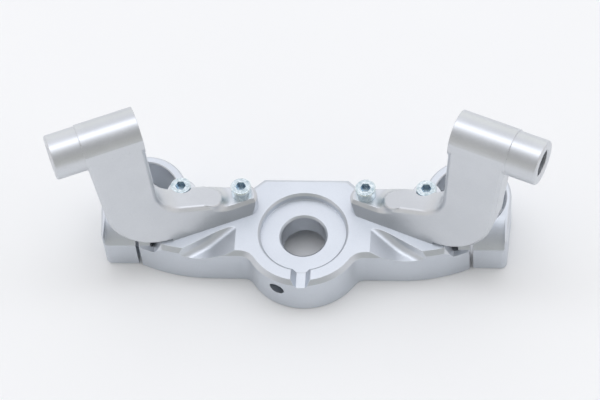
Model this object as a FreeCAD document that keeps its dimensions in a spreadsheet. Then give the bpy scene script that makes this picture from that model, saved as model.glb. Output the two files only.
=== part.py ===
import FreeCAD, Part
import Sketcher

import math
import os

# Upper fork yoke of a motorcycle with a pair of handlebar risers.
# Millimetres. +X to the rider's right, +Y towards the front wheel, +Z up.
# The origin is on the steering stem's axis, at the flat underside.

V = FreeCAD.Vector

# Driving sizes
SIZES = {
    # yoke plate
    "plate_thick": 32.0,
    "nose_radius": 38.8,
    "root_fillet": 9.0,
    "wing_front": 17.4,
    "wing_straight": 61.0,
    "wing_radius": 110.0,
    "back_edge": 40.2,
    "back_half": 27.0,
    "back_corner_x": 36.5,
    "waist_edge": 31.5,
    "ring_fillet": 14.0,
    "plate_chamfer": 2.8,
    "under_chamfer": 1.2,
    # steering stem seat
    "stem_radius": 14.25,
    "stem_chamfer": 1.3,
    "dish_radius": 27.5,
    "dish_deep": 5.4,
    "dish_chamfer": 1.5,
    "under_radius": 25.0,
    "under_deep": 10.0,
    # nose groove and side hole
    "groove_top": 12.6,
    "groove_floor": 5.8,
    "groove_deep": 5.0,
    "side_hole_radius": 5.0,
    "side_hole_angle": 24.0,
    "side_hole_drop": 12.0,
    # fork clamps
    "fork_x": 105.5,
    "fork_y": 28.0,
    "fork_radius": 23.0,
    "fork_chamfer": 0.8,
    "ring_in": 1.0,
    "ring_forward": 0.5,
    "ring_radius": 27.5,
    "ring_chamfer": 1.2,
    "ear_front": 7.0,
    "ear_root": 7.0,
    "ear_taper": 4.5,
    "ear_corner": 4.0,
    "ear_slope_start": 14.0,
    "ear_slope_radius": 27.2,
    "ear_lip": 6.5,
    "strip_end_in": 15.3,
    "strip_end_y": -10.9,
    "strip_end_lean": 60.0,
    "slot_out": 1.5,
    "slot_wide": 2.1,
    # pinch bolt holes
    "pinch_y": -0.5,
    "pinch_drop": 12.5,
    "pinch_grip": 8.5,
    "pinch_seat_long": 7.5,
    "pinch_seat_radius": 7.2,
    "pinch_mouth_end": 5.5,
    "pinch_hole_radius": 4.3,
    "pinch_tap_radius": 3.4,
    "pinch_tap_deep": 19.0,
    # key ramps in the wings
    "ramp_start": 43.0,
    "ramp_angle": 19.5,
    "ramp_deep": 6.7,
    "ramp_blend": 30.0,
    "ramp_back_x": 52.0,
    "ramp_back_y": 1.1,
    "ramp_back_angle": 31.0,
    "ramp_back_lean": 18.0,
    "ramp_fillet": 5.0,
    # risers
    "bar_end_x": 150.8,
    "bar_end_y": 0.1,
    "bar_high": 114.8,
    "bar_sweep": 22.35,
    "spigot_radius": 14.3,
    "spigot_long": 19.5,
    "spigot_bore": 8.25,
    "spigot_bore_deep": 30.0,
    "spigot_chamfer": 0.8,
    "barrel_radius": 14.95,
    "arm_wide": 37.3,
    "arm_lean": 12.8,
    "arm_face": 14.6,
    "arm_thick": 18.6,
    "arm_taper": 3.0,
    "heel_radius": 37.5,
    "crook_radius": 19.0,
    "pad_slope": 17.0,
    "pad_end": 96.0,
    "pad_high": 15.6,
    "pad_round": 8.0,
    "pad_chamfer": 0.6,
    "hollow_x": 89.2,
    "hollow_y": 22.0,
    "hollow_stub": 7.3,
    "hollow_radius": 7.0,
    "arm_chamfer": 2.0,
    "tongue_chamfer": 1.8,
    "tongue_thick": 11.8,
    "tongue_round": 9.3,
    "tongue_shift": 1.8,
    "foot_round": 9.5,
    "foot_waist": 4.0,
    # riser screws
    "screw_inner_x": 39.7,
    "screw_outer_x": 78.2,
    "screw_y": 21.0,
    "screw_radius": 4.0,
    "screw_long": 28.0,
    "head_radius": 6.5,
    "head_high": 8.0,
    "head_chamfer": 0.7,
    "hex_flat": 6.0,
    "hex_deep": 4.0,
    "thread_clear": 0.05,
    "hole_clear": 0.25,
    "seat_radius": 7.5,
    "tapped_deep": 22.0,
}

doc = FreeCAD.newDocument("fork_yoke")
sheet = doc.addObject("Spreadsheet::Sheet", "dims")
for row, (alias, number) in enumerate(SIZES.items(), start=1):
    sheet.set("A%d" % row, alias)
    sheet.set("B%d" % row, str(number))
    sheet.setAlias("B%d" % row, alias)
doc.recompute()


def size(alias):
    return float(sheet.get(alias))


def cosd(angle):
    return math.cos(math.radians(angle))


def sind(angle):
    return math.sin(math.radians(angle))


def tand(angle):
    return math.tan(math.radians(angle))


def round_point(centre, radius, angle):
    return (centre[0] + radius * cosd(angle), centre[1] + radius * sind(angle))


# A path is a start point and a list of steps. A step is (None, end) for a
# line or (middle, end) for an arc through its middle point.
def arc(centre, radius, start, end):
    return (round_point(centre, radius, (start + end) / 2), round_point(centre, radius, end))


def line(x, y):
    return (None, (x, y))


def flip(point):
    return None if point is None else (-point[0], point[1])


def mirrored(start, steps):
    points = [start] + [end for _, end in steps]
    back = []
    for index in range(len(steps) - 1, -1, -1):
        back.append((flip(steps[index][0]), flip(points[index])))
    return flip(points[-1]), back


def turns_left(a, b, c):
    return (b[0] - a[0]) * (c[1] - a[1]) - (b[1] - a[1]) * (c[0] - a[0]) > 0


def new_body(label):
    body = doc.addObject("PartDesign::Body", label)
    body.Label = label
    return body


def new_sketch(body, name, role, offset=None):
    sketch = body.newObject("Sketcher::SketchObject", name)
    plane = [f for f in body.Origin.OriginFeatures if f.Role == role][0]
    sketch.AttachmentSupport = [(plane, "")]
    sketch.MapMode = "FlatFace"
    if offset is not None:
        sketch.setExpression(".AttachmentOffset.Base.z", offset)
    return sketch


def draw(sketch, start, steps, radii=None):
    """Draws one closed path; radii names the size that each arc's radius is bound to."""
    here = start
    ends = []
    for index, (middle, end) in enumerate(steps):
        if middle is None:
            number = sketch.addGeometry(Part.LineSegment(V(*here, 0), V(*end, 0)), False)
            ends.append((number, 1, 2))
        else:
            shape = Part.Arc(V(*here, 0), V(*middle, 0), V(*end, 0))
            number = sketch.addGeometry(shape, False)
            forward = turns_left(here, middle, end)
            ends.append((number, 1, 2) if forward else (number, 2, 1))
            name = (radii or {}).get(index)
            if name:
                fixed = sketch.addConstraint(Sketcher.Constraint("Radius", number, size(name)))
                sketch.setExpression("Constraints[%d]" % fixed, "dims." + name)
        here = end
    for first, second in zip(ends, ends[1:] + ends[:1]):
        sketch.addConstraint(
            Sketcher.Constraint("Coincident", first[0], first[2], second[0], second[1]))


def draw_circle(sketch, centre, name, clearance=None):
    radius = size(name) + (size(clearance) if clearance else 0)
    formula = "dims." + name + (" + dims." + clearance if clearance else "")
    number = sketch.addGeometry(Part.Circle(V(*centre, 0), V(0, 0, 1), radius), False)
    fixed = sketch.addConstraint(Sketcher.Constraint("Radius", number, radius))
    sketch.setExpression("Constraints[%d]" % fixed, formula)


def pad(body, sketch, length, name, both=False, reverse=False):
    feature = body.newObject("PartDesign::Pad", name)
    feature.Profile = sketch
    feature.setExpression("Length", length)
    feature.Midplane = both
    feature.Reversed = reverse
    doc.recompute()
    return feature


def pocket(body, sketch, length, name, both=False, reverse=False):
    before = body.Shape.Volume
    feature = body.newObject("PartDesign::Pocket", name)
    feature.Profile = sketch
    feature.setExpression("Length", length)
    feature.Midplane = both
    feature.Reversed = reverse
    doc.recompute()
    if not body.Shape.Volume < before:
        raise RuntimeError("nothing was cut by " + name)
    return feature


def edges_where(shape, test):
    names = []
    for index, edge in enumerate(shape.Edges, start=1):
        middle = edge.valueAt((edge.FirstParameter + edge.LastParameter) / 2)
        if test(edge, middle):
            names.append("Edge%d" % index)
    return names


def dress(body, kind, name, alias, test):
    """Chamfers or rounds the body's edges that pass the test."""
    base = body.Tip
    names = edges_where(base.Shape, test)
    if not names:
        raise RuntimeError("no edge for " + name)
    feature = body.newObject("PartDesign::" + kind, name)
    feature.Base = (base, names)
    feature.setExpression("Size" if kind == "Chamfer" else "Radius", "dims." + alias)
    doc.recompute()
    if feature.Shape.isNull():
        raise RuntimeError(name + " was not made")
    return feature


def prim(kind, name, sizes, at=None, turn=None):
    """A Part primitive with its sizes and its place bound to the sheet."""
    piece = doc.addObject("Part::" + kind, name)
    for field, formula in sizes.items():
        piece.setExpression(field, formula)
    for field, formula in (at or {}).items():
        piece.setExpression("Placement.Base." + field, formula)
    if turn:
        piece.Placement = FreeCAD.Placement(piece.Placement.Base, turn)
    return piece


def join(name, pieces):
    whole = doc.addObject("Part::MultiFuse", name)
    whole.Shapes = pieces
    whole.Refine = True
    return whole


def mirror(name, source):
    twin = doc.addObject("Part::Mirroring", name)
    twin.Source = source
    twin.Base = V(0, 0, 0)
    twin.Normal = V(1, 0, 0)
    return twin


def cut(name, base, tool):
    rest = doc.addObject("Part::Cut", name)
    rest.Base = base
    rest.Tool = tool
    rest.Refine = True
    return rest


def ring_centre():
    return (size("fork_x") - size("ring_in"), size("fork_y") + size("ring_forward"))


def yoke_plate():
    """The flat plate with its round nose and its two tapering wings."""
    body = new_body("yoke_blank")
    nose = size("nose_radius")
    root = size("root_fillet")
    front = size("wing_front")
    wing = size("wing_radius")
    straight = size("wing_straight")
    back = size("back_edge")
    waist = size("waist_edge")
    ring = ring_centre()
    ring_radius = size("ring_radius")
    blend = size("ring_fillet")
    fork_x = size("fork_x")

    rise = -(front + root)
    root_centre = (math.sqrt((nose + root) ** 2 - rise ** 2), rise)
    toe = math.degrees(math.atan2(rise, root_centre[0]))
    wing_end = -90 + math.degrees(math.asin((fork_x - straight) / wing))
    up = waist + blend - ring[1]
    out = math.sqrt((ring_radius + blend) ** 2 - up ** 2)
    blend_centre = (ring[0] - out, waist + blend)
    meet = math.degrees(math.atan2(-up, out))

    start = (0, -nose)
    half = [
        arc((0, 0), nose, -90, toe),
        arc(root_centre, root, toe + 180, 90),
        line(straight, -front),
        arc((straight, wing - front), wing, -90, wing_end),
        line(fork_x, ring[1]),
        line(*round_point(blend_centre, blend, meet)),
        arc(blend_centre, blend, meet, -90),
        line(size("back_corner_x"), waist),
        line(size("back_half"), back),
        line(0, back),
    ]
    other_start, other = mirrored(start, half)
    sketch = new_sketch(body, "plate_outline", "XY_Plane")
    draw(sketch, start, half + other,
         {0: "nose_radius", 1: "root_fillet", 3: "wing_radius", 6: "ring_fillet"})
    pad(body, sketch, "dims.plate_thick", "plate")

    def on_rim(middle, height):
        away = math.hypot(abs(middle.x) - ring[0], middle.y - ring[1])
        return (abs(middle.z - height) < 0.01
                and abs(middle.x) < fork_x - 0.1 and away > ring_radius)

    dress(body, "Chamfer", "plate_rim", "plate_chamfer",
          lambda edge, middle: on_rim(middle, size("plate_thick")))
    dress(body, "Chamfer", "plate_foot", "under_chamfer",
          lambda edge, middle: on_rim(middle, 0))
    return body


def slope_steps(height):
    """The outline of what lies above an ear's sloping top, seen from the side."""
    top = size("plate_thick")
    start = size("ear_slope_start")
    radius = size("ear_slope_radius")
    turn = math.degrees(math.asin((start + size("ear_lip")) / radius))
    low = round_point((start, top - radius), radius, 90 + turn)
    return (start, top), [
        arc((start, top - radius), radius, 90, 90 + turn),
        line(-3 * height, low[1]),
        line(-3 * height, 2 * height),
        line(start, 2 * height),
        line(start, top),
    ]


def fork_ear():
    """The ring round the right fork tube and the ear in front of it."""
    body = new_body("ear_right")
    ring = ring_centre()
    radius = size("ring_radius")
    taper = size("ear_taper")
    corner = size("ear_corner")
    front = -size("ear_front")
    touch = round_point(ring, radius, -taper)
    turn = (touch[0] - (touch[1] - front - corner) * tand(taper) - corner / cosd(taper),
            front + corner)
    start = (size("fork_x") - size("ear_root"), front)
    outline = new_sketch(body, "ear_outline", "XY_Plane")
    draw(outline, start, [
        line(turn[0], front),
        arc(turn, corner, -90, -taper),
        line(*touch),
        arc(ring, radius, -taper, 180),
        line(start[0], ring[1]),
        line(*start),
    ], {1: "ear_corner", 3: "ring_radius"})
    pad(body, outline, "dims.plate_thick", "ear")

    def outside(middle):
        ahead = middle.y < ring[1] - 0.1
        away = math.hypot(middle.x - ring[0], middle.y - ring[1])
        return middle.x > start[0] + 0.1 if ahead else abs(away - radius) < 0.05

    dress(body, "Chamfer", "ear_rim", "ring_chamfer",
          lambda edge, middle: abs(middle.z - size("plate_thick")) < 0.01 and outside(middle))
    dress(body, "Chamfer", "ear_foot", "under_chamfer",
          lambda edge, middle: abs(middle.z) < 0.01 and outside(middle))
    above = new_sketch(body, "ear_slope_line", "YZ_Plane")
    draw(above, *slope_steps(size("plate_thick")), {0: "ear_slope_radius"})
    pocket(body, above, "8 * dims.plate_thick", "ear_slope_cut", both=True)
    return body


def stem_seat(body):
    """The stem's bore, its dished seat on top and the recess underneath."""
    top = size("plate_thick")
    floor = top - size("dish_deep")
    stem = size("stem_radius")
    dish = size("dish_radius")
    sketch = new_sketch(body, "stem_profile", "XZ_Plane")
    draw(sketch, (0, -1), [
        line(size("under_radius"), -1),
        line(size("under_radius"), size("under_deep")),
        line(stem, size("under_deep")),
        line(stem, floor - size("stem_chamfer")),
        line(stem + size("stem_chamfer"), floor),
        line(dish, floor),
        line(dish, top - size("dish_chamfer")),
        line(dish + size("dish_chamfer"), top),
        line(dish + size("dish_chamfer"), top + 1),
        line(0, top + 1),
        line(0, -1),
    ])
    before = body.Shape.Volume
    groove = body.newObject("PartDesign::Groove", "stem_seat")
    groove.Profile = sketch
    groove.ReferenceAxis = (sketch, ["V_Axis"])
    groove.Angle = 360
    doc.recompute()
    if not body.Shape.Volume < before:
        raise RuntimeError("the stem seat was not cut")


def fork_bore():
    """The right fork bore with a chamfer at each end, and the slot that opens it."""
    body = new_body("fork_bore")
    radius = size("fork_radius")
    bevel = size("fork_chamfer")
    top = size("plate_thick")
    sketch = new_sketch(body, "fork_bore_profile", "XZ_Plane")
    draw(sketch, (0, -bevel), [
        line(radius + 2 * bevel, -bevel),
        line(radius, bevel),
        line(radius, top - bevel),
        line(radius + 2 * bevel, top + bevel),
        line(0, top + bevel),
        line(0, -bevel),
    ])
    turned = body.newObject("PartDesign::Revolution", "fork_bore_turned")
    turned.Profile = sketch
    turned.ReferenceAxis = (sketch, ["V_Axis"])
    turned.Angle = 360
    body.setExpression("Placement.Base.x", "dims.fork_x")
    body.setExpression("Placement.Base.y", "dims.fork_y")
    slot = prim("Box", "slot", {
        "Length": "dims.slot_wide",
        "Width": "dims.fork_y + dims.ear_front + dims.plate_thick",
        "Height": "2 * dims.plate_thick"},
        {"x": "dims.fork_x + dims.slot_out - dims.slot_wide / 2",
         "y": "-dims.ear_front - dims.plate_thick",
         "z": "-dims.plate_thick / 2"})
    return [body, slot]


def tapped_holes():
    """The two threaded holes for the right riser's screws, at their thread's outer size."""
    return [prim("Cylinder", "tapped_" + end, {
        "Radius": "dims.screw_radius + dims.thread_clear", "Height": "2 * dims.tapped_deep"},
        {"x": "dims.screw_%s_x" % end, "y": "dims.screw_y",
         "z": "dims.plate_thick - dims.tapped_deep"}) for end in ("inner", "outer")]


def key_groove(body):
    """The groove from the dish to the front of the nose."""
    top = size("plate_thick")
    wide = size("groove_top") / 2
    narrow = size("groove_floor") / 2
    deep = size("groove_deep")
    sketch = new_sketch(body, "groove_profile", "XZ_Plane", "dims.nose_radius")
    draw(sketch, (-wide, top + 1), [
        line(-wide, top),
        line(-narrow, top - deep),
        line(narrow, top - deep),
        line(wide, top),
        line(wide, top + 1),
        line(-wide, top + 1),
    ])
    pocket(body, sketch, "dims.nose_radius - dims.dish_radius / 2", "key_groove")


def ear_slope():
    """What is cut away from the right wing where the ear's slope runs on into it."""
    top = size("plate_thick")
    body = new_body("slope_tool")
    sketch = new_sketch(body, "slope_profile", "YZ_Plane", "dims.fork_x / 2")
    draw(sketch, *slope_steps(top), {0: "ear_slope_radius"})
    pad(body, sketch, "dims.fork_x", "slope")

    lean = size("strip_end_lean")
    end = V(size("fork_x") - size("strip_end_in"), size("strip_end_y"), top)
    reach = 4 * top
    behind = prim("Box", "slope_end_behind", {
        "Length": "8 * dims.plate_thick", "Width": "8 * dims.plate_thick",
        "Height": "8 * dims.plate_thick"})
    tilt = FreeCAD.Rotation(V(0, 1, 0), -(90 - lean))
    behind.Placement = FreeCAD.Placement(end + tilt.multVec(V(0, -reach, -reach)), tilt)
    beside = prim("Box", "slope_end_beside", {
        "Length": "8 * dims.plate_thick", "Width": "8 * dims.plate_thick",
        "Height": "8 * dims.plate_thick"})
    tilt = FreeCAD.Rotation(V(0, 0, 1), -45) * tilt
    beside.Placement = FreeCAD.Placement(end + tilt.multVec(V(0, -reach, -reach)), tilt)
    front = prim("Box", "slope_front", {
        "Length": "8 * dims.plate_thick", "Width": "4 * dims.plate_thick",
        "Height": "8 * dims.plate_thick"},
        {"y": "dims.strip_end_y - 4 * dims.plate_thick"})
    corner = doc.addObject("Part::MultiCommon", "slope_corner")
    corner.Shapes = [beside, front]
    ends = join("slope_ends", [behind, corner])
    whole = doc.addObject("Part::MultiCommon", "ear_slope")
    whole.Shapes = [body, ends]
    return whole


def key_ramp():
    """The ramp that lets a key reach the pinch bolt of the right ear."""
    top = size("plate_thick")
    angle = size("ramp_angle")
    blend = size("ramp_blend")
    deep = size("ramp_deep")
    rise = top / 2
    high = (size("ramp_start") - rise / tand(angle), top + rise)
    foot_x = size("ramp_start") + deep / tand(angle)
    reach = blend * tand(angle / 2)
    first = (foot_x - reach * cosd(angle), top - deep + reach * sind(angle))
    centre = (foot_x + reach, top - deep + blend)
    far = size("fork_x")
    body = new_body("ramp_tool")
    sketch = new_sketch(body, "ramp_profile", "XZ_Plane")
    draw(sketch, high, [
        line(*first),
        arc(centre, blend, -90 - angle, -90),
        line(far, top - deep),
        line(far, 2 * top),
        line(high[0], 2 * top),
        line(*high),
    ], {1: "ramp_blend"})
    pad(body, sketch, "6 * dims.plate_thick", "ramp", both=True)

    half = prim("Box", "ramp_back", {
        "Length": "8 * dims.plate_thick", "Width": "4 * dims.plate_thick",
        "Height": "8 * dims.plate_thick"})
    turn = (FreeCAD.Rotation(V(0, 0, 1), -size("ramp_back_angle"))
            * FreeCAD.Rotation(V(1, 0, 0), -size("ramp_back_lean")))
    corner = V(size("ramp_back_x"), size("ramp_back_y"), top)
    half.Placement = FreeCAD.Placement(
        corner + turn.multVec(V(-4 * top, -4 * top, -4 * top)), turn)
    block = doc.addObject("Part::MultiCommon", "ramp_block")
    block.Shapes = [body, half]
    doc.recompute()
    away = turn.multVec(V(0, 1, 0))
    names = edges_where(
        block.Shape,
        lambda edge, middle: abs((middle - corner).dot(away)) < 0.01 and middle.z < top + rise - 1
        and abs(edge.valueAt(edge.FirstParameter).x - edge.valueAt(edge.LastParameter).x) > 1)
    rounded = doc.addObject("Part::Fillet", "key_ramp")
    rounded.Base = block
    radius = size("ramp_fillet")
    rounded.Edges = [(int(name[4:]), radius, radius) for name in names]
    return rounded


def pinch_bore():
    """The pinch bolt's seat, hole and tapped hole in the right ear."""
    along = FreeCAD.Rotation(V(0, 1, 0), 90)
    slot = "dims.fork_x + dims.slot_out"
    seat = slot + " - dims.pinch_grip"
    mouth = seat + " - dims.pinch_seat_long"
    centre = {"y": "dims.pinch_y", "z": "dims.plate_thick - dims.pinch_drop"}
    wide = prim("Cylinder", "pinch_seat", {
        "Radius": "dims.pinch_seat_radius", "Height": "dims.pinch_seat_long"},
        dict(centre, x=mouth), along)
    end = prim("Cone", "pinch_mouth", {
        "Radius1": "dims.pinch_seat_radius - dims.pinch_mouth_end / 2",
        "Radius2": "dims.pinch_seat_radius", "Height": "dims.pinch_mouth_end"},
        dict(centre, x=mouth + " - dims.pinch_mouth_end"), along)
    hole = prim("Cylinder", "pinch_hole", {
        "Radius": "dims.pinch_hole_radius",
        "Height": "dims.pinch_grip + dims.pinch_seat_long"},
        dict(centre, x=mouth), along)
    tapped = prim("Cylinder", "pinch_tapped", {
        "Radius": "dims.pinch_tap_radius", "Height": "dims.pinch_tap_deep"},
        dict(centre, x=slot), along)
    return join("pinch_bore", [wide, end, hole, tapped])


def side_hole():
    """The small hole from the nose's left front into the stem's bore."""
    hole = prim("Cylinder", "side_hole", {
        "Radius": "dims.side_hole_radius", "Height": "dims.nose_radius + dims.side_hole_radius"},
        {"z": "dims.plate_thick - dims.side_hole_drop"},
        FreeCAD.Rotation(V(0, 0, 1), -90 - size("side_hole_angle"))
        * FreeCAD.Rotation(V(0, 1, 0), 90))
    return hole


def yoke():
    plate = yoke_plate()
    stem_seat(plate)
    key_groove(plate)
    slopes = ear_slope()
    sloped = cut("sloped_plate", plate, join("slopes", [slopes, mirror("slope_left", slopes)]))
    ear = fork_ear()
    whole = join("yoke_whole", [sloped, ear, mirror("ear_left", ear)])
    right = join("right_cuts", fork_bore() + tapped_holes() + [key_ramp(), pinch_bore()])
    cuts = join("yoke_cuts", [right, mirror("left_cuts", right), side_hole()])
    return cut("yoke", whole, cuts)


def arm_front(z):
    """How far in front of the bar's axis the arm's leaning face is at a height."""
    lean = size("arm_lean")
    return size("arm_face") / cosd(lean) + (size("bar_high") - z) * tand(lean)


def local(x, y):
    """A point of the right half in the riser's own axes: along the bar and forwards."""
    sweep = size("bar_sweep")
    along = x - size("bar_end_x")
    back = y - size("bar_end_y")
    return (along * cosd(sweep) - back * sind(sweep), -along * sind(sweep) - back * cosd(sweep))


def local_arc(centre, radius, start, end):
    middle = round_point(centre, radius, (start + end) / 2)
    return (local(*middle), local(*round_point(centre, radius, end)))


def lean_cut(body, name):
    """Cuts a riser's piece back to the arm's leaning front plane."""
    low = size("plate_thick") - 1
    high = size("bar_high") + size("barrel_radius")
    far = size("bar_high") + 1
    front = new_sketch(body, name + "_line", "YZ_Plane")
    draw(front, (arm_front(low), low), [
        line(far, low),
        line(far, high),
        line(arm_front(high), high),
        line(arm_front(low), low),
    ])
    pocket(body, front, "4 * dims.bar_high", name, both=True)


def on_front(middle):
    return abs(middle.y - arm_front(middle.z)) < 0.05


def place_riser(body):
    body.setExpression("Placement.Base.x", "-dims.bar_end_x")
    body.setExpression("Placement.Base.y", "dims.bar_end_y")
    body.setExpression("Placement.Rotation.Angle", "180 + dims.bar_sweep")


def riser_arm():
    """The bar spigot, its barrel and the leaning arm with its sloping pad."""
    body = new_body("riser_arm")
    base = size("plate_thick")
    axis = size("bar_high")
    outer = -size("spigot_long")
    inner = outer - size("arm_wide")
    heel = size("heel_radius")
    heel_u = outer - size("arm_taper") - heel
    crook = size("crook_radius")
    slope = size("pad_slope")
    pad_end = -size("pad_end")
    pad_high = base + size("pad_high")
    crook_end = inner - crook + crook * sind(slope)
    crook_high = pad_high + (crook_end - pad_end) * tand(slope) + crook * cosd(slope)
    crook_centre = (inner - crook, crook_high)

    sketch = new_sketch(body, "arm_outline", "XZ_Plane")
    draw(sketch, (outer, axis), [
        line(heel_u + heel, base + heel),
        arc((heel_u, base + heel), heel, 0, -90),
        line(pad_end, base),
        line(pad_end, pad_high),
        line(*round_point(crook_centre, crook, slope - 90)),
        arc(crook_centre, crook, slope - 90, 0),
        line(inner, axis),
        line(outer, axis),
    ], {1: "heel_radius", 5: "crook_radius"})
    pad(body, sketch, "2 * dims.bar_high", "arm", both=True)

    thick = size("arm_thick")
    low, high = base - 1, axis + size("barrel_radius")
    far = axis + 1
    behind = new_sketch(body, "arm_back", "YZ_Plane")
    draw(behind, (arm_front(low) - thick, low), [
        line(arm_front(high) - thick, high),
        line(-far, high),
        line(-far, low),
        line(arm_front(low) - thick, low),
    ])
    pocket(body, behind, "4 * dims.bar_high", "arm_back_cut", both=True)
    lean_cut(body, "arm_front_cut")
    dress(body, "Fillet", "pad_round_end", "pad_round",
          lambda edge, middle: abs(middle.x - pad_end) < 0.01
          and abs(edge.valueAt(edge.FirstParameter).z - edge.valueAt(edge.LastParameter).z) > 5)
    dress(body, "Chamfer", "heel_chamfer", "arm_chamfer",
          lambda edge, middle: on_front(middle) and middle.x > heel_u + 1
          and middle.z < axis - 1)
    dress(body, "Chamfer", "pad_rim", "pad_chamfer",
          lambda edge, middle: base + 5 < middle.z < axis - 1 and middle.x < inner + 0.01
          and (on_front(middle) or abs(middle.y - arm_front(middle.z) + thick) < 0.05
               or middle.x < pad_end + size("pad_round")))

    barrel = new_sketch(body, "barrel_circle", "YZ_Plane", "-dims.spigot_long")
    draw_circle(barrel, (0, axis), "barrel_radius")
    pad(body, barrel, "dims.arm_wide", "barrel", reverse=True)
    lean_cut(body, "barrel_face_cut")
    spigot = new_sketch(body, "spigot_circle", "YZ_Plane", "-dims.spigot_long")
    draw_circle(spigot, (0, axis), "spigot_radius")
    pad(body, spigot, "dims.spigot_long", "spigot")
    bore = new_sketch(body, "end_circle", "YZ_Plane")
    draw_circle(bore, (0, axis), "spigot_bore")
    pocket(body, bore, "dims.spigot_bore_deep", "end_bore")
    dress(body, "Chamfer", "spigot_edges", "spigot_chamfer",
          lambda edge, middle: abs(middle.x) < 0.01)
    place_riser(body)
    return body


def tongue_outline(body):
    """The tongue's outline round its two screws, in the riser's own axes."""
    inner_screw = (size("screw_inner_x"), size("screw_y"))
    outer_screw = (size("screw_outer_x"), size("screw_y"))
    tip = size("tongue_round")
    boss = size("foot_round")
    waist = size("foot_waist")
    sweep = size("bar_sweep")
    heel_u = -size("spigot_long") - size("arm_taper") - size("heel_radius")
    forwards = -90 - sweep
    tip_centre = tongue_tip()
    turn_in = math.degrees(math.asin((inner_screw[1] + waist - tip_centre[1]) / tip))
    turn_out = 90 + math.degrees(math.acos(waist / boss))
    nose = local(*round_point(tip_centre, tip, forwards))
    tongue = new_sketch(body, "tongue_outline", "XY_Plane", "dims.plate_thick")
    draw(tongue, (heel_u, nose[1]), [
        line(*nose),
        local_arc(tip_centre, tip, forwards, turn_in - 360),
        line(*local(*round_point(outer_screw, boss, turn_out))),
        local_arc(outer_screw, boss, turn_out, -sweep),
        line(heel_u, nose[1] - boss),
        line(heel_u, nose[1]),
    ], {1: "tongue_round", 3: "foot_round"})
    return tongue


def riser_foot():
    """The tongue, with the hollow that sweeps round the pad's end down onto its top."""
    body = new_body("riser_foot")
    base = size("plate_thick")
    floor = base + size("tongue_thick")
    hollow = size("hollow_radius")
    stub = size("hollow_stub")
    pad(body, tongue_outline(body), "dims.tongue_thick + 2 * dims.hollow_radius", "tongue")

    profile = new_sketch(body, "hollow_profile", "XZ_Plane", "-dims.hollow_y")
    profile.setExpression(".AttachmentOffset.Base.x", "-dims.hollow_x")
    roof = floor + 3 * hollow
    far = size("pad_end")
    draw(profile, (stub + hollow, floor), [
        line(far, floor),
        line(far, roof),
        line(stub, roof),
        line(stub, floor + hollow),
        arc((stub + hollow, floor + hollow), hollow, 180, 270),
    ], {4: "hollow_radius"})
    before = body.Shape.Volume
    groove = body.newObject("PartDesign::Groove", "hollow")
    groove.Profile = profile
    groove.ReferenceAxis = (profile, ["V_Axis"])
    groove.Angle = 360
    doc.recompute()
    if not body.Shape.Volume < before:
        raise RuntimeError("the hollow was not cut")

    def pad_top(x):
        return base + size("pad_high") + (x + size("pad_end")) * tand(size("pad_slope"))

    toe = -size("pad_end") - (size("pad_high") - size("tongue_thick")) / tand(size("pad_slope"))
    above = new_sketch(body, "pad_line", "XZ_Plane")
    draw(above, (toe, floor), [
        line(0, pad_top(0)),
        line(0, 2 * roof),
        line(toe, 2 * roof),
        line(toe, floor),
    ])
    pocket(body, above, "4 * dims.bar_high", "pad_slope_cut", both=True)
    dress(body, "Chamfer", "stub_rim", "pad_chamfer",
          lambda edge, middle: abs(middle.z - pad_top(middle.x)) < 0.01
          and middle.z > floor + 1)
    lean_cut(body, "tongue_front_cut")

    centre = local(*tongue_tip())
    pad_side = -size("hollow_x") - stub / 2

    def on_tip(middle):
        away = math.hypot(middle.x - centre[0], middle.y - centre[1])
        return abs(away - size("tongue_round")) < 0.05

    def outline(edge, middle):
        spin = math.hypot(middle.x + size("hollow_x"), middle.y - size("hollow_y"))
        return middle.z > floor - 0.01 and abs(spin - stub - hollow) > 0.05

    dress(body, "Chamfer", "tongue_front_rim", "tongue_chamfer",
          lambda edge, middle: outline(edge, middle) and middle.x < pad_side
          and (on_front(middle) or on_tip(middle)))
    place_riser(body)
    return body


def tongue_tip():
    """The centre of the tongue's round tip, on the right half."""
    inner_screw = (size("screw_inner_x"), size("screw_y"))
    return round_point(inner_screw, size("tongue_shift"), -90 - size("bar_sweep"))


def riser_holes():
    """What the screws need in the left riser: clearance holes and the outer head's seat."""
    seat = prim("Cylinder", "screw_seat", {
        "Radius": "dims.seat_radius", "Height": "dims.plate_thick"},
        {"x": "-dims.screw_outer_x", "y": "dims.screw_y",
         "z": "dims.plate_thick + dims.tongue_thick"})
    holes = [prim("Cylinder", "screw_hole_" + end, {
        "Radius": "dims.screw_radius + dims.hole_clear", "Height": "2 * dims.plate_thick"},
        {"x": "-dims.screw_%s_x" % end, "y": "dims.screw_y"}) for end in ("inner", "outer")]
    return [seat] + holes


def riser():
    """The left riser in one piece."""
    whole = join("riser_whole", [riser_arm(), riser_foot()])
    return cut("riser_left", whole, join("riser_holes", riser_holes()))


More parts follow.
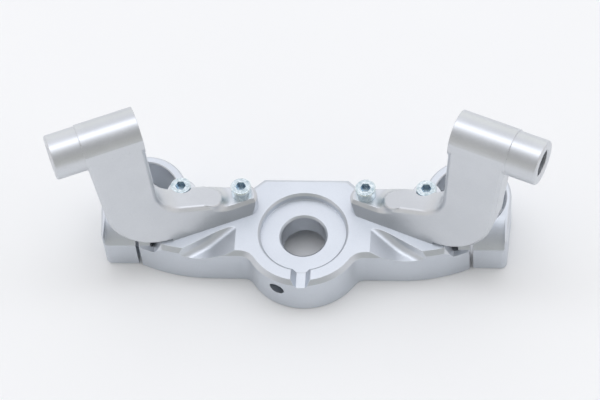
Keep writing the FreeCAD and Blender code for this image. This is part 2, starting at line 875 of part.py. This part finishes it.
def riser_screw(name, x_formula):
    """A socket head screw, seated on the riser and threaded into the plate."""
    body = new_body(name)
    head = size("head_radius")
    high = size("head_high")
    shank = size("screw_radius")
    length = size("screw_long")
    bevel = size("head_chamfer")
    sketch = new_sketch(body, name + "_profile", "XZ_Plane")
    draw(sketch, (0, -length), [
        line(shank, -length),
        line(shank, 0),
        line(head, 0),
        line(head, high - bevel),
        line(head - bevel, high),
        line(0, high),
        line(0, -length),
    ])
    turned = body.newObject("PartDesign::Revolution", name + "_turned")
    turned.Profile = sketch
    turned.ReferenceAxis = (sketch, ["V_Axis"])
    turned.Angle = 360
    doc.recompute()
    reach = size("hex_flat") / math.sqrt(3)
    hexagon = new_sketch(body, name + "_hexagon", "XY_Plane", "dims.head_high")
    corners = [round_point((0, 0), reach, 60 * turn) for turn in range(1, 7)]
    draw(hexagon, round_point((0, 0), reach, 0), [line(*point) for point in corners])
    pocket(body, hexagon, "dims.hex_deep", name + "_socket")
    body.setExpression("Placement.Base.x", x_formula)
    body.setExpression("Placement.Base.y", "dims.screw_y")
    body.setExpression("Placement.Base.z", "dims.plate_thick + dims.tongue_thick")
    return body


pieces = [yoke()]
left = riser()
pieces += [left, mirror("riser_right", left)]
for end in ("inner", "outer"):
    for hand, sign in (("left", "-"), ("right", "")):
        pieces.append(riser_screw("riser_screw_%s_%s" % (end, hand),
                                  "%sdims.screw_%s_x" % (sign, end)))
for piece in pieces:
    piece.Label = piece.Name
doc.recompute()

for item in doc.Objects:
    if "Invalid" in item.State or "Error" in item.State:
        raise RuntimeError("%s: %s" % (item.Name, item.State))
os.makedirs("parts", exist_ok=True)
for piece in pieces:
    shape = piece.Shape
    if shape.isNull() or not shape.isValid() or len(shape.Solids) != 1:
        raise RuntimeError("%s: bad shape, %d solids" % (piece.Label, len(shape.Solids)))
for piece in pieces:
    piece.Shape.exportStep("parts/%s.step" % piece.Label)
    box = piece.Shape.BoundBox
    print("%-24s %9.0f mm3  %6.1f x %6.1f x %6.1f" % (
        piece.Label, piece.Shape.Volume, box.XLength, box.YLength, box.ZLength))
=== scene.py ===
import math

import bpy
from mathutils import Matrix, Vector

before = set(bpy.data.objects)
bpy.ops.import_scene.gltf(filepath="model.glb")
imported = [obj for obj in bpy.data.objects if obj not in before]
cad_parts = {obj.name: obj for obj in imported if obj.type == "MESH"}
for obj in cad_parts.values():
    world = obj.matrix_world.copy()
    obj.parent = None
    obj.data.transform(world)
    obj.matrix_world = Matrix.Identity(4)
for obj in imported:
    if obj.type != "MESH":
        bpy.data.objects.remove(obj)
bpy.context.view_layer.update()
scene = bpy.context.scene

# Metres
BROKEN_EDGE = 0.0006
SCREW_EDGE = 0.0004
# How far the painted shade in the screw sockets reaches
SOCKET_SHADE_REACH = 0.005
SATIN_GRAIN_HIGH = 0.00004
ZINC_GRAIN_HIGH = 0.00003
FLOOR_WIDE = 30

# The cosine between a face and its broken edge, where the edge is full and where it begins
EDGE_FULL = 0.86
EDGE_START = 0.985


def new_material(name):
    material = bpy.data.materials.new(name)
    material.use_nodes = True
    tree = material.node_tree
    tree.nodes.clear()
    out = tree.nodes.new("ShaderNodeOutputMaterial")
    shader = tree.nodes.new("ShaderNodeBsdfPrincipled")
    tree.links.new(shader.outputs["BSDF"], out.inputs["Surface"])
    return material, tree, shader


def noise(tree, scale, detail=2.0, rough=0.5):
    """A noise in the object's own metres; scale counts its grains to the metre."""
    place = tree.nodes.new("ShaderNodeTexCoord")
    grain = tree.nodes.new("ShaderNodeTexNoise")
    grain.inputs["Scale"].default_value = scale
    grain.inputs["Detail"].default_value = detail
    grain.inputs["Roughness"].default_value = rough
    tree.links.new(place.outputs["Object"], grain.inputs["Vector"])
    return grain.outputs["Fac"]


def ranged(tree, source, low, high, start=0.3, end=0.7):
    """The source's stretch from start to end, spread from low to high."""
    spread = tree.nodes.new("ShaderNodeMapRange")
    spread.inputs["From Min"].default_value = start
    spread.inputs["From Max"].default_value = end
    spread.inputs["To Min"].default_value = low
    spread.inputs["To Max"].default_value = high
    tree.links.new(source, spread.inputs["Value"])
    return spread.outputs["Result"]


def coloured(tree, source, dark, light):
    """A colour between dark and light that follows the source."""
    ramp = tree.nodes.new("ShaderNodeValToRGB")
    ramp.color_ramp.elements[0].position = 0.3
    ramp.color_ramp.elements[0].color = (*dark, 1)
    ramp.color_ramp.elements[1].position = 0.7
    ramp.color_ramp.elements[1].color = (*light, 1)
    tree.links.new(source, ramp.inputs["Fac"])
    return ramp.outputs["Color"]


def mixed(tree, factor, first, second):
    """The first colour, turning to the second as the factor goes to 1."""
    blend = tree.nodes.new("ShaderNodeMix")
    blend.data_type = "RGBA"
    tree.links.new(factor, blend.inputs["Factor"])
    tree.links.new(first, blend.inputs["A"])
    blend.inputs["B"].default_value = (*second, 1)
    return blend.outputs["Result"]


def summed(tree, first, second, kind="ADD"):
    total = tree.nodes.new("ShaderNodeMath")
    total.operation = kind
    tree.links.new(first, total.inputs[0])
    tree.links.new(second, total.inputs[1])
    return total.outputs["Value"]


def broken_edges(tree, radius):
    """The normal of slightly rounded edges, and a mask that is 1 along them."""
    bevel = tree.nodes.new("ShaderNodeBevel")
    bevel.samples = 6
    bevel.inputs["Radius"].default_value = radius
    geometry = tree.nodes.new("ShaderNodeNewGeometry")
    dot = tree.nodes.new("ShaderNodeVectorMath")
    dot.operation = "DOT_PRODUCT"
    tree.links.new(bevel.outputs["Normal"], dot.inputs[0])
    tree.links.new(geometry.outputs["True Normal"], dot.inputs[1])
    mask = ranged(tree, dot.outputs["Value"], 1, 0, EDGE_FULL, EDGE_START)
    return bevel.outputs["Normal"], mask


def bumped(tree, shader, normal, height, strength, distance):
    bump = tree.nodes.new("ShaderNodeBump")
    bump.inputs["Strength"].default_value = strength
    bump.inputs["Distance"].default_value = distance
    tree.links.new(height, bump.inputs["Height"])
    tree.links.new(normal, bump.inputs["Normal"])
    tree.links.new(bump.outputs["Normal"], shader.inputs["Normal"])


def satin(name, dark, light, edge_highlight_colour, rough):
    """Blasted and clear anodised aluminium: an even fine grain, with a painted highlight that makes it
    paler on its edges.
    """
    material, tree, shader = new_material(name)
    shader.inputs["Metallic"].default_value = 1.0
    cloud = noise(tree, 24, 4, 0.6)
    grain = noise(tree, 2600, 2)
    fleck = noise(tree, 900, 3, 0.6)
    normal, mask = broken_edges(tree, BROKEN_EDGE)
    mottle = summed(tree, ranged(tree, cloud, 0, 0.7), ranged(tree, fleck, 0, 0.3))
    body = coloured(tree, mottle, dark, light)
    # Painted highlight: the base colour turns paler along the broken edges.
    tree.links.new(mixed(tree, ranged(tree, mask, 0, 0.5, 0, 1), body, edge_highlight_colour),
                   shader.inputs["Base Color"])
    satin_rough = summed(tree, ranged(tree, cloud, rough - 0.03, rough + 0.03),
                         ranged(tree, fleck, -0.03, 0.03))
    worn = ranged(tree, mask, 0, 0.08, 0, 1)
    tree.links.new(summed(tree, satin_rough, worn, "SUBTRACT"), shader.inputs["Roughness"])
    bumped(tree, shader, normal, grain, 0.14, SATIN_GRAIN_HIGH)
    return material


def zinc(name):
    """Bright zinc plate: smooth and pale with a fine mottle, a painted highlight along its edges, and
    painted shade in dark blue down in the socket.
    """
    material, tree, shader = new_material(name)
    shader.inputs["Metallic"].default_value = 1.0
    cloud = noise(tree, 420, 3, 0.65)
    grain = noise(tree, 3000, 2)
    normal, mask = broken_edges(tree, SCREW_EDGE)
    body = coloured(tree, cloud, (0.50, 0.62, 0.66), (0.86, 0.93, 0.95))
    # Painted highlight: the zinc's colour turns paler along the broken edges of the head.
    body_with_edge_highlight = mixed(tree, ranged(tree, mask, 0, 0.6, 0, 1), body, (0.93, 0.96, 0.98))
    # Painted shade: occlusion turns the colour dark blue down in the hex socket, where shade falls.
    shade = tree.nodes.new("ShaderNodeAmbientOcclusion")
    shade.samples = 8
    shade.inputs["Distance"].default_value = SOCKET_SHADE_REACH
    painted_socket_shade = ranged(tree, shade.outputs["AO"], 0.85, 0, 0.25, 0.62)
    tree.links.new(mixed(tree, painted_socket_shade, body_with_edge_highlight, (0.07, 0.17, 0.30)), shader.inputs["Base Color"])
    tree.links.new(ranged(tree, cloud, 0.12, 0.28), shader.inputs["Roughness"])
    bumped(tree, shader, normal, grain, 0.12, ZINC_GRAIN_HIGH)
    return material


def finish_of(node_name):
    if node_name == "yoke":
        return "yoke"
    return "screw" if "screw" in node_name else "riser"


finishes = {
    "yoke": satin("yoke_satin", (0.605, 0.64, 0.69), (0.645, 0.68, 0.73), (0.75, 0.78, 0.82), 0.42),
    "riser": satin("riser_satin", (0.614, 0.636, 0.668), (0.652, 0.674, 0.706), (0.75, 0.77, 0.80), 0.37),
    "screw": zinc("screw_zinc"),
}
for name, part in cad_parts.items():
    for slot in part.material_slots:
        slot.material = finishes[finish_of(name)]


def card(name, dark, light):
    """The floor's matt card."""
    material, tree, shader = new_material(name)
    tree.links.new(coloured(tree, noise(tree, 3), dark, light), shader.inputs["Base Color"])
    shader.inputs["Roughness"].default_value = 0.95
    shader.inputs["Specular IOR Level"].default_value = 0.1
    return material


bpy.ops.mesh.primitive_plane_add(size=FLOOR_WIDE, location=(0, 0, 0))
floor = bpy.context.object
floor.name = "floor"
floor.data.materials.append(card("floor_card", (0.925, 0.935, 0.945), (0.935, 0.945, 0.955)))

# The room's tones: a broad soft box overhead and a little behind, a dim stretch ahead.
# A tone's place in FRONT_TO_BACK runs from 0, level in front, by 0.5, straight up, to 1, level behind.
AHEAD = (0.60, 0.60, 0.55)
DIM_STRETCH = (0.45, 0.45, 0.45)
OVER_FRONT = (0.60, 0.60, 0.60)
ZENITH = (1.25, 1.25, 1.30)
SOFT_BOX = (2.25, 2.30, 2.40)
BEHIND = (0.90, 0.90, 0.95)
BACK_WALL = (1.15, 1.15, 1.10)
SIDES = (0.95, 0.92, 0.90)
FRONT_TO_BACK = [
    (0.0, AHEAD),
    (0.2, DIM_STRETCH),
    (0.35, OVER_FRONT),
    (0.5, ZENITH),
    (0.6, SOFT_BOX),
    (0.7, BEHIND),
    (0.8, BEHIND),
    (1.0, BACK_WALL),
]


# How far aside a direction points where the side tone begins, and where it is alone
SIDE_START = 0.5
SIDE_FULL = 0.8


def room_tones(tones, side_tone):
    """A world whose tone runs from front to back, and turns to one tone at both sides."""
    world = bpy.data.worlds.new("studio")
    world.use_nodes = True
    room = world.node_tree
    where = room.nodes.new("ShaderNodeTexCoord")
    parts = room.nodes.new("ShaderNodeSeparateXYZ")
    room.links.new(where.outputs["Generated"], parts.inputs["Vector"])
    walls = room.nodes.new("ShaderNodeValToRGB")
    room.links.new(ranged(room, parts.outputs["Y"], 0, 1, -1, 1), walls.inputs["Fac"])
    while len(walls.color_ramp.elements) < len(tones):
        walls.color_ramp.elements.new(0.5)
    for stop, (place, colour) in zip(walls.color_ramp.elements, tones):
        stop.position = place
        stop.color = (*colour, 1)
    aside = room.nodes.new("ShaderNodeMath")
    aside.operation = "ABSOLUTE"
    room.links.new(parts.outputs["X"], aside.inputs[0])
    sideways = ranged(room, aside.outputs["Value"], 0, 1, SIDE_START, SIDE_FULL)
    tone = mixed(room, sideways, walls.outputs["Color"], side_tone)
    room.links.new(tone, room.nodes["Background"].inputs["Color"])
    return world


scene.world = room_tones(FRONT_TO_BACK, SIDES)

KEY_WIDE = math.radians(30)
KEY_STRONG = 0.13
KEY_FROM = Vector((0, 0.2, 0.98))

key = bpy.data.lights.new("overhead_lamp", "SUN")
key.angle = KEY_WIDE
key.energy = KEY_STRONG
lamp = bpy.data.objects.new("overhead_lamp", key)
scene.collection.objects.link(lamp)
lamp.rotation_mode = "QUATERNION"
lamp.rotation_quaternion = KEY_FROM.to_track_quat("Z", "Y")

# The photograph's view, as angles round the point of the floor that it looks at
CAMERA_TURN = math.radians(8.72)
CAMERA_RISE = math.radians(57.76)
CAMERA_ROLL = math.radians(6.71)
CAMERA_FAR = 1.691
CAMERA_LENS = 154.66
CAMERA_AIM = Vector((-0.00625, 0.0435, 0))

lens = bpy.data.cameras.new("camera")
lens.sensor_width = 36
lens.lens = CAMERA_LENS
lens.clip_end = 50
camera = bpy.data.objects.new("camera", lens)
scene.collection.objects.link(camera)
camera.matrix_world = (
    Matrix.Translation(CAMERA_AIM)
    @ Matrix.Rotation(CAMERA_TURN, 4, "Z")
    @ Matrix.Rotation(math.radians(90) - CAMERA_RISE, 4, "X")
    @ Matrix.Rotation(-CAMERA_ROLL, 4, "Z")
    @ Matrix.Translation((0, 0, CAMERA_FAR))
)
scene.camera = camera

scene.view_settings.view_transform = "Standard"
